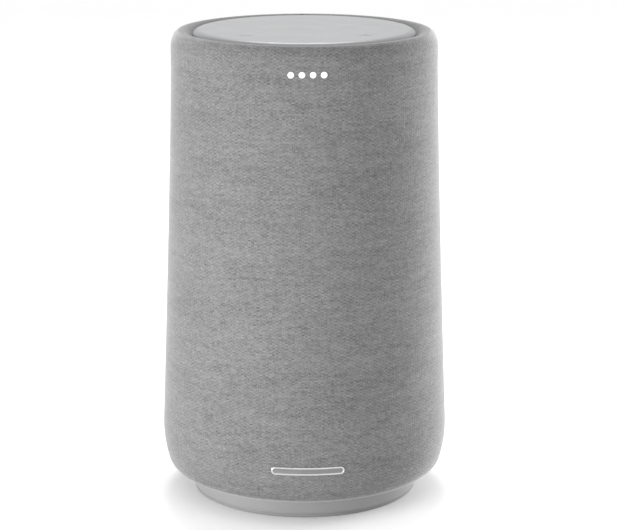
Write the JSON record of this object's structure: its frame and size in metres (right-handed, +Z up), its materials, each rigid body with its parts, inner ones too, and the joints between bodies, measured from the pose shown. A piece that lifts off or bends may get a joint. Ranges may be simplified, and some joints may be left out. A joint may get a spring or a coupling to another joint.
{
  "type": "smart speaker",
  "caption": "Cloth-covered barrel-shaped smart speaker with a touch plate on top, status lights at the front, a plain badge and a plinth base, with its drivers and electronics inside.",
  "frame": {"origin": "centre of the underside, where the speaker rests on its foot", "axes": "+Z up along the barrel, the front with the lights and badge faces -Y, +X to the right seen from the front"},
  "size_m": [0.16, 0.1616, 0.26],
  "materials": {
    "cloth": "fine woven melange polyester",
    "grille_plastic": "moulded",
    "plate_plastic": "satin soft-touch",
    "light_diffuser": "frosted diffuser",
    "badge_metal": "polished",
    "base_plastic": "satin",
    "foot_rubber": "matt silicone",
    "cover_plastic": "fine spark texture",
    "box_plastic": "moulded",
    "foam": "closed-cell foam",
    "screw_steel": "zinc plated",
    "basket_steel": "black powder coat",
    "magnet_steel": "zinc plated",
    "ferrite": "ground ferrite",
    "neodymium": "nickel plated",
    "surround_rubber": "butyl",
    "cone_paper": "pressed pulp",
    "spider_cloth": "resin-dipped cotton",
    "coil_copper": "enamelled copper",
    "dome_silk": "coated silk",
    "circuit": "solder mask",
    "chip": "moulded epoxy",
    "shield_tin": "tin plated",
    "aluminium_black": "black anodised",
    "capacitor_sleeve": "shrink sleeve",
    "transformer_tape": "polyester tape",
    "ribbon": "polyimide",
    "lead_insulation": "pvc",
    "inlet_plastic": "moulded",
    "pin_metal": "nickel-plated brass",
    "bezel_plastic": "satin",
    "button_plastic": "satin"
  },
  "bodies": {
    "root": {"fabric_sleeve": "cloth", "grille_frame": "grille_plastic", "top_plate": "plate_plastic", "top_frame": "grille_plastic", "top_screws": "screw_steel", "touch_board": "circuit", "microphones": "shield_tin", "microphone_gaskets": "foam", "led_board": "circuit", "led_emitters": "light_diffuser", "light_guide": "light_diffuser", "touch_ribbon": "ribbon", "badge": "badge_metal", "enclosure_body": "box_plastic", "enclosure_lid": "box_plastic", "lid_seal": "foam", "enclosure_screws": "screw_steel", "bass_port": "box_plastic", "woofer_basket": "basket_steel", "woofer_gasket": "foam", "woofer_surround": "surround_rubber", "woofer_spider": "spider_cloth", "woofer_top_plate": "magnet_steel", "woofer_magnet": "ferrite", "woofer_yoke": "magnet_steel", "woofer_screws": "screw_steel", "tweeter_faceplate": "basket_steel", "tweeter_suspension": "dome_silk", "tweeter_magnet": "neodymium", "tweeter_yoke": "magnet_steel", "tweeter_screws": "screw_steel", "base_deck": "box_plastic", "base_ring": "base_plastic", "bottom_cover": "cover_plastic", "cord_well": "cover_plastic", "rubber_foot": "foot_rubber", "chassis_screws": "screw_steel", "mains_inlet": "inlet_plastic", "inlet_pins": "pin_metal", "service_port": "shield_tin", "power_board": "circuit", "main_board": "circuit", "board_screws": "screw_steel", "power_transformer": "transformer_tape", "power_capacitors": "capacitor_sleeve", "processor_shield": "shield_tin", "amplifier_heatsink": "aluminium_black", "antennas": "circuit", "speaker_leads": "lead_insulation", "power_leads": "lead_insulation", "rear_bezel": "bezel_plastic", "button_board": "circuit", "button_switches": "chip"},
    "woofer_diaphragm": {"woofer_cone": "cone_paper", "woofer_dust_cap": "cone_paper", "woofer_voice_coil": "coil_copper"},
    "tweeter_diaphragm": {"tweeter_dome": "dome_silk", "tweeter_coil": "coil_copper"},
    "mute_cap": {"mute_button": "button_plastic"},
    "bluetooth_cap": {"bluetooth_button": "button_plastic"}
  },
  "joints": [
    {"name": "woofer_travel", "type": "slide", "parent": "root", "child": "woofer_diaphragm", "axis": [0, -1, 0], "range_m": [-0.004, 0.004], "stiffness_N_per_m": 2000, "deforming": ["woofer_surround", "woofer_spider"]},
    {"name": "tweeter_travel", "type": "slide", "parent": "root", "child": "tweeter_diaphragm", "axis": [0, -1, 0], "range_m": [-0.0003, 0.0003], "stiffness_N_per_m": 2000, "deforming": ["tweeter_suspension"]},
    {"name": "mute_button_press", "type": "slide", "parent": "root", "child": "mute_cap", "axis": [0, -1, 0], "range_m": [0, 0.0008], "stiffness_N_per_m": 2500, "springref_m": -0.0004},
    {"name": "bluetooth_button_press", "type": "slide", "parent": "root", "child": "bluetooth_cap", "axis": [0, -1, 0], "range_m": [0, 0.0008], "stiffness_N_per_m": 2500, "springref_m": -0.0004}
  ]
}
